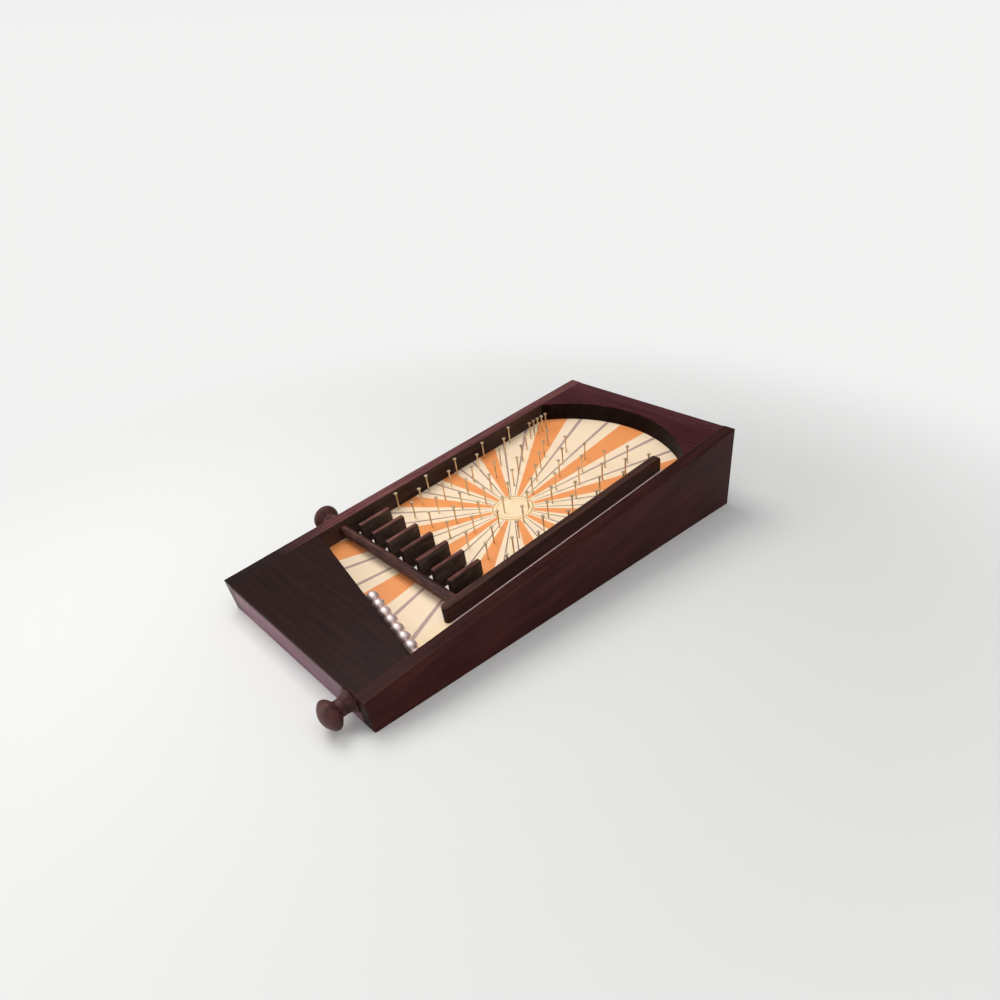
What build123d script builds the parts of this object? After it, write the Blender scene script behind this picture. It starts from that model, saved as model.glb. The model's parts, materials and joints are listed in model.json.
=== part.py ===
"""Tabletop plink ball game: a low sloping wooden cabinet with a pin field.

A spring plunger at the front right sends a steel ball up a narrow lane. The
ball turns under an arch, drops through staggered brass pins into one of the
scoring slots and waits there behind a gate rod. Pulling the rod out by its
knob lets the balls roll into the tray, whose slanted fence leads them back to
the plunger.

Lengths are in millimetres, +X is the player's right, +Y runs to the rear and
+Z is up. The origin is the middle of the base, on the table.
"""
import os
from math import cos, hypot, pi, radians, sin, sqrt, tan

from build123d import *

# Cabinet
width = 250.0
top_length = 526.0
front_height = 36.5
slope = 7.0
wall = 15.0
front_board = 12.0
base_sheet = 4.0
edge_round = 1.5

# Playfield board and the cleats that carry it
floor_depth = 22.0
field_sheet = 6.0
cleat_width = 12.0
cleat_height = 10.0
cleat_room = 1.5

# Arch at the rear
arch_radius = 153.0
arch_back = 30.0

# Apron over the plunger, with the slanted ball fence under its rear edge
apron_sheet = 5.0
apron_left = 106.0
apron_right = 59.2
fence_board = 6.0
fence_lip = 1.2
fence_hole = 12.0

# Rails on the playfield: the lane divider and the slot dividers
rail_drop = 3.5
rail_round = 1.0
lane_width = 22.0
lane_board = 9.0
lane_mouth = 59.0
lane_lead = 19.0
lane_corner = 5.0
slot_count = 8
slot_board = 5.0
slot_first = 15.5
slot_last = 18.5
slot_length = 40.0
slot_gap = 5.0

# Gate rod
tray_width = 29.0
gate_d = 12.0
gate_drop = 11.5
gate_socket = 5.0

# Turned knobs
knob_d = 32.0
knob_thick = 18.6
knob_rim = 5.0
knob_neck_d = 16.0
knob_cove = 2.0
knob_reach = 21.0
knob_bore = 12.0

# Spring plunger
plunger_rise = 1.0
plunger_rod_d = 6.0
plunger_tip_d = 10.0
plunger_tip = 12.0
plunger_tip_bore = 8.0
plunger_tip_round = 1.0
bush_d = 22.0
bush_reach = 8.0
bush_spigot_d = 14.0
bush_round = 2.0
collar_d = 14.0
collar_thick = 2.0
spring_d = 10.0
spring_wire = 1.2
spring_turns = 7

# Steel balls
ball_d = 13.5
tray_balls = 7

# Brass pins
pin_d = 1.8
pin_head_d = 4.2
pin_head = 0.9
pin_height = 21.8
pin_bite = 4.5
pin_rows = 11
pins_across = 7
mouth_pins = 2
pin_first_gap = 19.5
pin_end_gap = 8.0
pin_wall_gap = 6.0
pin_lane_gap = 1.8
guard_pins = 5
guard_pitch = 7.2

# Clearances
running_gap = 0.05
seat_gap = 0.3

# The sloping top and the playfield: u across, v up the slope from the front edge
tilt = radians(slope)
up_slope = Vector(0, cos(tilt), sin(tilt))
off_slope = Vector(0, -sin(tilt), cos(tilt))
rear_height = front_height + top_length * sin(tilt)
deck_y = -(top_length * cos(tilt) + (front_height + rear_height) * tan(tilt)) / 2
deck = Plane(origin=(0, deck_y, front_height), x_dir=(1, 0, 0), z_dir=off_slope)
field = deck.offset(-floor_depth)
square_up = Axis(field.origin, off_slope)
inner = width / 2 - wall
rear_board = top_length - wall

# Plan of the playfield
arch_apex = top_length - arch_back
arch_spring = arch_apex - arch_radius + sqrt(arch_radius**2 - inner**2)
lane_left = inner - lane_width - lane_board
lane_axis = inner - lane_width / 2
gate_v = apron_left + tray_width
lane_front = gate_v - lane_lead
lane_rear = arch_apex - lane_mouth
slot_front = gate_v + gate_d / 2 + slot_gap
slot_rear = slot_front + slot_length
slot_dividers = slot_count - 1
slot_pitch = (lane_left + inner - slot_first - slot_last - slot_board) / (slot_dividers - 1)

# The fence falls towards the lane, so a length square to it is longer along the slope
fence_run = 2 * inner
fence_fall = apron_left - apron_right
fence_cos = fence_run / hypot(fence_run, fence_fall)
fence_step = fence_board / fence_cos

# Balls rest on the playfield, against the fence, and the last one runs into the corner by the right wall
ball_rest = inner - ball_d / 2 - seat_gap
ball_step = ball_d + seat_gap
ball_stand = (ball_d / 2 + seat_gap) / fence_cos
ball_lift = ball_d / 2 + seat_gap


def side(v, depth):
    """Side-view point (y, z) at v along the top and a depth square below it."""
    return (
        deck_y + v * cos(tilt) + depth * sin(tilt),
        front_height + v * sin(tilt) - depth * cos(tilt),
    )


def level(v, height):
    """Side-view point at a height above the table on the line square to the top at v."""
    return side(v, (front_height + v * sin(tilt) - height) / cos(tilt))


def fence_v(u):
    """Where the fence's rear face is at u, a lip behind the apron's rear edge."""
    return apron_left + fence_lip - (u + inner) * fence_fall / fence_run


def on_deck(u, v, lift):
    """Point in space over the playfield."""
    return field.from_local_coords(Vector(u, v, lift))


def finish(piece, name):
    """Labels a piece and writes its STEP file."""
    piece.part.label = name
    export_step(piece.part, f"parts/{name}.step")


# Plunger axis, with the stations of its collar and tip along the slope from the front face
plunger_lift = ball_d / 2 + plunger_rise
plunger_axis_at = on_deck(lane_axis, 0, plunger_lift)
plunger_line = Plane(origin=plunger_axis_at, x_dir=(1, 0, 0), z_dir=-off_slope)
plunger_turn = Axis(plunger_axis_at, -up_slope)
tip_end = fence_v(ball_rest) + ball_stand - ball_d / 2 - seat_gap
tip_start = tip_end - plunger_tip
collar_start = tip_start - collar_thick

# Gate axis, from the left wall's outer face
gate_lift = floor_depth - gate_drop
gate_axis_at = on_deck(-width / 2, gate_v, gate_lift)
gate_line = Plane(origin=gate_axis_at, x_dir=up_slope, z_dir=off_slope)
gate_turn = Axis(gate_axis_at, (-1, 0, 0))

os.makedirs("parts", exist_ok=True)

# Side walls, the full length of the cabinet
with BuildPart() as left_wall:
    with BuildSketch(Plane.YZ.offset(-width / 2)):
        with BuildLine():
            Polyline(level(0, 0), level(top_length, 0), side(top_length, 0), side(0, 0), close=True)
        make_face()
    extrude(amount=wall)
    fillet(left_wall.edges().group_by(Axis.X)[0].sort_by(Axis.Z)[1:], radius=edge_round)
    with BuildSketch(Plane(origin=gate_axis_at, x_dir=(0, 1, 0), z_dir=(1, 0, 0))):
        Circle(gate_d / 2 + running_gap)
    extrude(amount=wall, mode=Mode.SUBTRACT)
finish(left_wall, "left_wall")

with BuildPart() as right_wall:
    with BuildSketch(Plane.YZ.offset(width / 2)):
        with BuildLine():
            Polyline(level(0, 0), level(top_length, 0), side(top_length, 0), side(0, 0), close=True)
        make_face()
    extrude(amount=-wall)
    fillet(right_wall.edges().group_by(Axis.X)[-1].sort_by(Axis.Z)[1:], radius=edge_round)
finish(right_wall, "right_wall")

# Front board under the apron, bored for the plunger's bush
with BuildPart() as front_panel:
    with BuildSketch(Plane.YZ.offset(-inner)):
        with BuildLine():
            Polyline(
                level(0, 0),
                level(front_board, 0),
                side(front_board, apron_sheet),
                side(0, apron_sheet),
                close=True,
            )
        make_face()
    extrude(amount=2 * inner)
    with BuildSketch(Plane(origin=plunger_axis_at, x_dir=(1, 0, 0), z_dir=up_slope)):
        Circle(bush_spigot_d / 2)
    extrude(amount=front_board, mode=Mode.SUBTRACT)
finish(front_panel, "front_panel")

# Rear board, up to the top
with BuildPart() as rear_panel:
    with BuildSketch(Plane.YZ.offset(-inner)):
        with BuildLine():
            Polyline(
                level(rear_board, 0),
                level(top_length, 0),
                side(top_length, 0),
                side(rear_board, 0),
                close=True,
            )
        make_face()
    extrude(amount=2 * inner)
    top_rear = rear_panel.edges().filter_by(Axis.X).group_by(Axis.Z)[-1]
    fillet(top_rear, radius=edge_round)
finish(rear_panel, "rear_panel")

# Base sheet let in between the four boards, flush with their feet
with BuildPart() as base_panel:
    with BuildSketch(Plane.YZ.offset(-inner)):
        with BuildLine():
            Polyline(
                level(front_board, 0),
                level(rear_board, 0),
                level(rear_board, base_sheet),
                level(front_board, base_sheet),
                close=True,
            )
        make_face()
    extrude(amount=2 * inner)
finish(base_panel, "base_panel")

# Playfield board on two cleats, which begin where the base or the front board leaves room
with BuildPart() as playfield_board:
    with BuildSketch(field):
        with Locations((0, front_board)):
            Rectangle(2 * inner, rear_board - front_board, align=(Align.CENTER, Align.MIN))
    extrude(amount=-field_sheet)
finish(playfield_board, "playfield_board")

cleat_top = floor_depth + field_sheet
cleat_foot = cleat_top + cleat_height
cleat_clear = (base_sheet + cleat_room + cleat_foot * cos(tilt) - front_height) / sin(tilt)
cleat_start = max(cleat_clear, front_board + cleat_room)
for cleat_name, cleat_x, cleat_way in (("cleat_left", -inner, 1), ("cleat_right", inner, -1)):
    with BuildPart() as cleat:
        with BuildSketch(Plane.YZ.offset(cleat_x)):
            with BuildLine():
                Polyline(
                    side(cleat_start, cleat_top),
                    side(rear_board, cleat_top),
                    side(rear_board, cleat_foot),
                    side(cleat_start, cleat_foot),
                    close=True,
                )
            make_face()
        extrude(amount=cleat_way * cleat_width)
    finish(cleat, cleat_name)

# Arch that turns the ball, flush with the wall tops
with BuildPart() as arch_block:
    with BuildSketch(deck):
        with BuildLine():
            ThreePointArc((-inner, arch_spring), (0, arch_apex), (inner, arch_spring))
            Polyline((inner, arch_spring), (inner, rear_board), (-inner, rear_board), (-inner, arch_spring))
        make_face()
    extrude(amount=-floor_depth)
    arch_edge = arch_block.edges().filter_by(GeomType.CIRCLE).sort_by(Axis.Z)[-1]
    fillet(arch_edge, radius=edge_round)
finish(arch_block, "arch_block")

# Apron sheet over the plunger
with BuildPart() as apron_panel:
    with BuildSketch(deck):
        with BuildLine():
            Polyline((-inner, 0), (inner, 0), (inner, apron_right), (-inner, apron_left), close=True)
        make_face()
    extrude(amount=-apron_sheet)
    apron_front = apron_panel.edges().filter_by(Axis.X).group_by(Axis.Y)[0]
    apron_rear = apron_panel.faces().sort_by(square_up)[-1].edges().sort_by(Axis.Y)[-1]
    fillet([*apron_front, apron_rear], radius=edge_round)
finish(apron_panel, "apron_panel")

# Fence under the apron's rear edge, with the plunger's hole
with BuildPart() as ball_fence:
    with BuildSketch(field):
        with BuildLine():
            Polyline(
                (-inner, fence_v(-inner)),
                (-inner, fence_v(-inner) - fence_step),
                (inner, fence_v(inner) - fence_step),
                (inner, fence_v(inner)),
                close=True,
            )
        make_face()
    extrude(amount=floor_depth - apron_sheet)
    with BuildSketch(Plane(origin=plunger_axis_at, x_dir=(1, 0, 0), z_dir=up_slope)):
        Circle(fence_hole / 2)
    extrude(amount=apron_left, mode=Mode.SUBTRACT)
finish(ball_fence, "ball_fence")

# Lane divider: rounded front end, eased rear corner, a socket for the gate rod
rail_height = floor_depth - rail_drop
with BuildPart() as lane_divider:
    with BuildSketch(field):
        with Locations((lane_left + lane_board / 2, lane_front + lane_board / 2)):
            Circle(lane_board / 2)
        with Locations((lane_left + lane_board / 2, lane_front + lane_board / 2)):
            Rectangle(lane_board, lane_rear - lane_front - lane_board / 2, align=(Align.CENTER, Align.MIN))
    extrude(amount=rail_height)
    lane_end = lane_divider.edges().filter_by(Axis.X).sort_by(Axis.Z)[-1]
    fillet(lane_end, radius=lane_corner)
    lane_crown = lane_divider.faces().sort_by(square_up)[-1]
    fillet(lane_crown.edges().filter_by(Axis.X, reverse=True), radius=rail_round)
    gate_seat = on_deck(lane_left, gate_v, gate_lift)
    with BuildSketch(Plane(origin=gate_seat, x_dir=up_slope, z_dir=(1, 0, 0))):
        Circle(gate_d / 2 + running_gap)
    extrude(amount=gate_socket, mode=Mode.SUBTRACT)
finish(lane_divider, "lane_divider")

# Slot dividers
for slot in range(slot_dividers):
    slot_u = lane_left - slot_last - slot * slot_pitch
    with BuildPart() as slot_divider:
        with BuildSketch(field):
            with Locations((slot_u, slot_front)):
                Rectangle(slot_board, slot_length, align=(Align.MAX, Align.MIN))
        extrude(amount=rail_height)
        crown = slot_divider.faces().sort_by(square_up)[-1]
        fillet(crown.edges(), radius=rail_round)
    finish(slot_divider, f"slot_divider_{slot_dividers - slot}")


def turned_knob(line, seat, rod):
    """Half section of a turned knob: a neck from its seat, a rounded head and a rod's bore.

    Args:
        line: Plane whose Y axis is the turning axis, pointing away from the cabinet.
        seat: Distance along that axis at which the neck begins.
        rod: Diameter of the rod that the knob is glued to.
    """
    half = knob_thick / 2
    with BuildSketch(line) as section:
        with BuildLine():
            TangentArc((0, knob_reach + half), (knob_d / 2, knob_reach), tangent=(1, 0))
            TangentArc((0, knob_reach - half), (knob_d / 2, knob_reach), tangent=(1, 0))
            Line((0, knob_reach - half), (0, knob_reach + half))
        make_face()
        fillet(section.vertices().sort_by(Axis.X)[-1], radius=knob_rim)
        with Locations((0, seat)):
            Rectangle(knob_neck_d / 2, knob_reach - seat, align=(Align.MIN, Align.MIN))
        neck_root = section.vertices().group_by(Axis.X)[-2].sort_by(Axis.Y)[-1]
        fillet(neck_root, radius=knob_cove)
        with Locations((0, seat)):
            Rectangle(rod / 2, knob_bore, align=(Align.MIN, Align.MIN), mode=Mode.SUBTRACT)
    return section.sketch


# Gate rod and its knob
gate_knob_section = turned_knob(gate_line, seat_gap, gate_d)
with BuildPart() as gate_knob:
    revolve(gate_knob_section, axis=gate_turn)
finish(gate_knob, "gate_knob")

gate_end = wall + inner + lane_left + gate_socket - seat_gap
with BuildPart() as gate_rod:
    with BuildSketch(Plane(origin=gate_axis_at, x_dir=up_slope, z_dir=(1, 0, 0)).offset(gate_end)):
        Circle(gate_d / 2)
    extrude(amount=-(gate_end + seat_gap + knob_bore))
finish(gate_rod, "gate_rod")

# Plunger: bush, knob, rod, collar, tip and spring, all turned on one axis
with BuildPart() as plunger_bush:
    with BuildSketch(plunger_line) as bush_section:
        Rectangle(bush_d / 2, bush_reach, align=(Align.MIN, Align.MIN))
        fillet(bush_section.vertices().group_by(Axis.X)[-1].sort_by(Axis.Y)[-1], radius=bush_round)
        Rectangle(bush_spigot_d / 2, front_board, align=(Align.MIN, Align.MAX))
        with Locations((0, -front_board)):
            Rectangle(
                plunger_rod_d / 2 + running_gap,
                front_board + bush_reach,
                align=(Align.MIN, Align.MIN),
                mode=Mode.SUBTRACT,
            )
    revolve(axis=plunger_turn)
finish(plunger_bush, "plunger_bush")

plunger_knob_section = turned_knob(plunger_line, bush_reach + seat_gap, plunger_rod_d)
with BuildPart() as plunger_knob:
    revolve(plunger_knob_section, axis=plunger_turn)
finish(plunger_knob, "plunger_knob")

rod_outer = bush_reach + seat_gap + knob_bore
rod_inner = tip_start + plunger_tip_bore
with BuildPart() as plunger_rod:
    with BuildSketch(Plane(origin=plunger_axis_at, x_dir=(1, 0, 0), z_dir=up_slope).offset(-rod_outer)):
        Circle(plunger_rod_d / 2)
    extrude(amount=rod_outer + rod_inner)
finish(plunger_rod, "plunger_rod")

with BuildPart() as plunger_collar:
    with BuildSketch(plunger_line):
        with Locations((plunger_rod_d / 2, -collar_start)):
            Rectangle((collar_d - plunger_rod_d) / 2, collar_thick, align=(Align.MIN, Align.MAX))
    revolve(axis=plunger_turn)
finish(plunger_collar, "plunger_collar")

with BuildPart() as plunger_tip_cap:
    with BuildSketch(plunger_line) as tip_section:
        with Locations((0, -tip_start)):
            Rectangle(plunger_tip_d / 2, plunger_tip, align=(Align.MIN, Align.MAX))
        fillet(tip_section.vertices().group_by(Axis.X)[-1].sort_by(Axis.Y)[0], radius=plunger_tip_round)
        with Locations((0, -tip_start)):
            Rectangle(
                plunger_rod_d / 2,
                plunger_tip_bore,
                align=(Align.MIN, Align.MAX),
                mode=Mode.SUBTRACT,
            )
    revolve(axis=plunger_turn)
finish(plunger_tip_cap, "plunger_tip")

# Compression spring between the bush and the collar, one wire wound round the rod
spring_start = front_board + spring_wire / 2 + seat_gap
spring_end = collar_start - spring_wire / 2 - seat_gap
spring_pitch = (spring_end - spring_start) / spring_turns
half_turns = 2 * spring_turns
across = Vector(1, 0, 0)


def coil_point(turn):
    """Centre of the wire after a number of turns."""
    angle = 2 * pi * turn
    swing = (across * cos(angle) + off_slope * sin(angle)) * (spring_d / 2)
    return plunger_axis_at + swing + up_slope * (spring_start + spring_pitch * turn)


def coil_way(turn):
    """Direction of the wire after a number of turns."""
    angle = 2 * pi * turn
    swing = (off_slope * cos(angle) - across * sin(angle)) * (pi * spring_d)
    return (swing + up_slope * spring_pitch).normalized()


def arc_meeting(start, start_way, end, end_way):
    """Point where two arcs, tangent to both ends and to each other, meet."""
    chord = end - start
    both = start_way + end_way
    spread = 2 * (1 - start_way.dot(end_way))
    pull = (sqrt(chord.dot(both) ** 2 + spread * chord.dot(chord)) - chord.dot(both)) / spread
    return (start + end + (start_way - end_way) * pull) * 0.5


with BuildPart() as plunger_spring:
    with BuildLine() as wire_path:
        for half_turn in range(half_turns):
            first, last = half_turn / 2, (half_turn + 1) / 2
            meet = arc_meeting(coil_point(first), coil_way(first), coil_point(last), coil_way(last))
            lead_in = TangentArc(coil_point(first), meet, tangent=coil_way(first))
            TangentArc(meet, coil_point(last), tangent=lead_in % 1)
    with BuildSketch(Plane(origin=coil_point(0), z_dir=coil_way(0))):
        Circle(spring_wire / 2)
    sweep()
finish(plunger_spring, "plunger_spring")

wound_wire = wire_path.wires()[0]
turn_stations = 40
stations = turn_stations * spring_turns
wire_step = wound_wire.length / stations
coil_points = [wound_wire.position_at(station / stations) for station in range(stations + 1)]
half_turn_stations = round(pi * spring_d / 2 / wire_step)
coil_gap = min(
    (coil_points[near] - coil_points[far]).length
    for far in range(half_turn_stations, stations + 1)
    for near in range(far - half_turn_stations)
)
print(f"spring: {spring_turns} turns, least gap between turns {coil_gap - spring_wire:.2f} mm")
wire_volume = pi * spring_wire**2 / 4 * wound_wire.length
print(f"spring: volume {plunger_spring.part.volume:.1f} mm3, wire section by length {wire_volume:.1f} mm3")

# Steel balls: one waits in front of the plunger, the others queue along the fence
for queue in range(tray_balls + 1):
    ball_u = ball_rest - queue * ball_step
    with BuildPart() as ball:
        with Locations(on_deck(ball_u, fence_v(ball_u) + ball_stand, ball_lift)):
            Sphere(ball_d / 2)
    finish(ball, f"tray_ball_{tray_balls + 1 - queue}" if queue else "shooter_ball")

# Brass pins driven into the playfield: staggered rows, two by the lane's mouth and a guard
pin_pitch = (lane_left + inner - pin_wall_gap - pin_lane_gap) / (pins_across - 1)
pin_first = slot_rear + pin_first_gap
pin_row_pitch = (lane_rear - pin_end_gap - pin_first) / (pin_rows - 1)
pin_left = -inner + pin_wall_gap


def drive_pins(name, places):
    """Makes one node of flat-headed pins at places on the playfield."""
    with BuildPart() as pins:
        with BuildSketch(field.offset(-pin_bite)):
            with Locations(*places):
                Circle(pin_d / 2)
        extrude(amount=pin_bite + pin_height - pin_head)
        with BuildSketch(field.offset(pin_height - pin_head)):
            with Locations(*places):
                Circle(pin_head_d / 2)
        extrude(amount=pin_head)
    finish(pins, name)


for row in range(pin_rows):
    row_v = pin_first + row * pin_row_pitch
    staggered = row % 2
    row_places = [
        (pin_left + (pin + staggered / 2) * pin_pitch, row_v) for pin in range(pins_across - staggered)
    ]
    if row == pin_rows - 1:
        row_places = row_places[-mouth_pins:]
    drive_pins(f"pin_row_{row + 1}", row_places)

guard_u = pin_left + pin_pitch / 2
guard_v = pin_first + (pin_rows - 2) * pin_row_pitch
drive_pins("pin_guard", [(guard_u, guard_v + step * guard_pitch) for step in range(1, guard_pins)])
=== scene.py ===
"""Dresses the tabletop plink ball game: stained boards, printed playfield, brass pins and steel balls.

Everything is in metres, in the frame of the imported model. The playfield has a frame of its own, in which
u runs across to the player's right, v runs up the slope and w stands square to the board.
"""

import json
import logging
import math
from dataclasses import dataclass
from enum import Enum

import bpy
import numpy as np
from mathutils import Matrix, Vector


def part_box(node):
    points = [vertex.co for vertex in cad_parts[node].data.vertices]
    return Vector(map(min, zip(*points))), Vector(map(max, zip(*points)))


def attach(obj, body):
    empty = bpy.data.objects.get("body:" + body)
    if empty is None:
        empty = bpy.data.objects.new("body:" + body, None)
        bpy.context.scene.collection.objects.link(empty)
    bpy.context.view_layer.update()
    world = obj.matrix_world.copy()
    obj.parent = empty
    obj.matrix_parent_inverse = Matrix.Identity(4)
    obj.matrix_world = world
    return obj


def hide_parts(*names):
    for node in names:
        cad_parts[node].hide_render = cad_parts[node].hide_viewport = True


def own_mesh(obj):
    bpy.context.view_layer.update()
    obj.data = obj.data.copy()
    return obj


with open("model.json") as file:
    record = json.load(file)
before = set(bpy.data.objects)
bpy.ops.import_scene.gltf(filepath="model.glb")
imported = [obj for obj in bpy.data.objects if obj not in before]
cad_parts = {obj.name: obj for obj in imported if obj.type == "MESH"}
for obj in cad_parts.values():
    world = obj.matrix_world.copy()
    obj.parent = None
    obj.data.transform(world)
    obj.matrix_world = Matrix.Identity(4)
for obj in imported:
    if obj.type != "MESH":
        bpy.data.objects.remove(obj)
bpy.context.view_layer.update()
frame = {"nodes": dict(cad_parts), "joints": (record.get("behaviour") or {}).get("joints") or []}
LOG = logging.getLogger("plink_ball_game")
SEED = 11
# Boards are cut from places up to this far from the middle of the timber
TIMBER_SPREAD = 0.8
SHARP_ANGLE = math.radians(40)
Vec3 = tuple[float, float, float]
Pair = tuple[float, float]
Tones = tuple[str, str, str]
Sockets = dict[str | int, object]


def linear(tone: str) -> tuple[float, float, float, float]:
    """Turns an sRGB hex colour to linear light.

    Args:
        tone: Six hex digits, with or without a leading hash.

    Returns:
        Red, green, blue and an alpha of one.
    """
    digits = tone.lstrip("#")
    channels = np.array([int(digits[at:at + 2], 16) for at in (0, 2, 4)]) / 255
    light = np.where(channels <= 0.04045, channels / 12.92, ((channels + 0.055) / 1.055) ** 2.4)
    return (*light.tolist(), 1.0)


def connect(tree: bpy.types.NodeTree, node: bpy.types.Node, sockets: Sockets) -> None:
    """Links or sets a node's inputs.

    Args:
        tree: Node tree that holds the node.
        node: The node.
        sockets: Input name or number to a value, or to the socket that feeds it.
    """
    for name, value in sockets.items():
        if isinstance(value, bpy.types.NodeSocket):
            tree.links.new(value, node.inputs[name])
        else:
            node.inputs[name].default_value = value


def add(tree: bpy.types.NodeTree, kind: str, sockets: Sockets | None = None,
        **settings: object) -> bpy.types.Node:
    """Adds one node with its settings, and links or sets its sockets.

    Args:
        tree: Node tree that gets the node.
        kind: Blender's name of the node's type, without its ShaderNode.
        sockets: Its inputs, as connect takes them.
        settings: Properties of the node.

    Returns:
        The new node.
    """
    node = tree.nodes.new(f"ShaderNode{kind}")
    for name, value in settings.items():
        setattr(node, name, value)
    connect(tree, node, sockets or {})
    return node


def between(limits: Pair) -> Sockets:
    """A range as Map Range takes it in."""
    return {"From Min": limits[0], "From Max": limits[1]}


def blank(name: str) -> tuple[bpy.types.Material, bpy.types.NodeTree, bpy.types.Node, bpy.types.NodeSocket]:
    """Makes a material that holds a principled shader and its output.

    Args:
        name: Name of the material.

    Returns:
        The material, its node tree, the shader's node and the socket of the Object coordinates.
    """
    material = bpy.data.materials.new(name)
    material.use_nodes = True
    tree = material.node_tree
    tree.nodes.clear()
    shader = add(tree, "BsdfPrincipled")
    add(tree, "OutputMaterial", {"Surface": shader.outputs["BSDF"]})
    return material, tree, shader, add(tree, "TexCoord").outputs["Object"]


def dress(node: str, material: bpy.types.Material) -> None:
    """Gives a carried-over solid its material.

    Args:
        node: Name of the solid's node.
        material: Material for the whole solid.
    """
    slots = frame["nodes"][node].data.materials
    slots.clear()
    slots.append(material)
    LOG.info("%s: %s", node, material.name)


def joint_row(name: str) -> dict:
    """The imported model's row for one joint."""
    return next(row for row in frame["joints"] if row["name"] == name)


def middle_of(node: str) -> Vector:
    """Middle of a node's box at rest."""
    return sum(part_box(node), Vector()) / 2


def cut_from(draw: np.random.Generator) -> np.ndarray:
    """Draws the place in the timber that one board is cut from."""
    return draw.uniform(-TIMBER_SPREAD, TIMBER_SPREAD, 3)


def stand_in(name: str, node: str, points: np.ndarray, faces: list[list[int]],
             material: bpy.types.Material) -> bpy.types.Object:
    """Makes a piece of the cabinet that stands for a carried-over solid.

    Args:
        name: Name of the piece.
        node: Node of the solid that it stands for.
        points: Points of its surface, in any grid of threes.
        faces: Numbers of the points round each face.
        material: Material for the whole piece.

    Returns:
        The piece.
    """
    mesh = bpy.data.meshes.new(name)
    mesh.from_pydata(points.reshape(-1, 3).tolist(), [], faces)
    mesh.shade_smooth()
    mesh.set_sharp_from_angle(angle=SHARP_ANGLE)
    mesh.materials.append(material)
    piece = bpy.data.objects.new(name, mesh)
    bpy.context.scene.collection.objects.link(piece)
    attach(piece, "cabinet")
    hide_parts(node)
    LOG.info("%s: %s", name, material.name)
    return piece


@dataclass(frozen=True)
class SlopeFrame:
    """Frame of the sloping playfield, measured on its board.

    Attributes:
        origin: Middle of the board's front top edge.
        tilt: Slope in radians.
        length: Length of the board up the slope.
    """

    origin: Vec3
    tilt: float
    length: float

    @classmethod
    def from_board(cls) -> "SlopeFrame":
        """Solves the board's length and thickness from its level box and the plunger's direction.

        The box's run is the length by the slope's cosine and the thickness by its sine, and its rise is the
        length by the sine and the thickness by the cosine.

        Returns:
            The playfield's frame.
        """
        low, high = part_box("playfield_board")
        _, back, down = joint_row("plunger_slide")["axis"]
        tilt = math.atan2(-down, -back)
        run, rise = high.y - low.y, high.z - low.z
        square = math.cos(2 * tilt)
        length = (run * math.cos(tilt) - rise * math.sin(tilt)) / square
        sheet = (rise * math.cos(tilt) - run * math.sin(tilt)) / square
        return cls((0.0, low.y, low.z + sheet * math.cos(tilt)), tilt, length)

    def point(self, u: float, v: float) -> Vec3:
        """Place of a point on the board, u to the right of its middle and v up from its front edge."""
        x, y, z = self.origin
        return (x + u, y + v * math.cos(self.tilt), z + v * math.sin(self.tilt))

    def up_slope(self, place: Vector) -> float:
        """Distance of a place up the slope from the board's front edge, which is its v."""
        return (place - Vector(self.origin)).dot(Vector(self.uphill()))

    def uphill(self) -> Vec3:
        """Direction up the slope."""
        return (0.0, math.cos(self.tilt), math.sin(self.tilt))

    def normal(self) -> Vec3:
        """Direction square to the board, away from it."""
        return (0.0, -math.sin(self.tilt), math.cos(self.tilt))

    def around(self, angle: np.ndarray) -> np.ndarray:
        """Directions about a line up the slope: right by the angle's cosine, off the board by its sine."""
        return np.array((1.0, 0.0, 0.0)) * np.cos(angle) + np.array(self.normal()) * np.sin(angle)


class Grain(Enum):
    """Which way a board's fibres run in the playfield's frame."""

    UP_SLOPE = 1
    ACROSS = 0

    def stretch(self, along: float, across: float) -> Vec3:
        """Scale of a pattern that is long with the fibres and narrow across them.

        Args:
            along: Length of a mark with the fibres.
            across: Width of a mark across them.

        Returns:
            Marks per metre along u, v and w.
        """
        scale = [1 / across] * 3
        scale[self.value] = 1 / along
        return tuple(scale)

    def direction(self, slope: SlopeFrame) -> Vec3:
        """Direction of the fibres in space."""
        return slope.uphill() if self is Grain.UP_SLOPE else (1.0, 0.0, 0.0)


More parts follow.
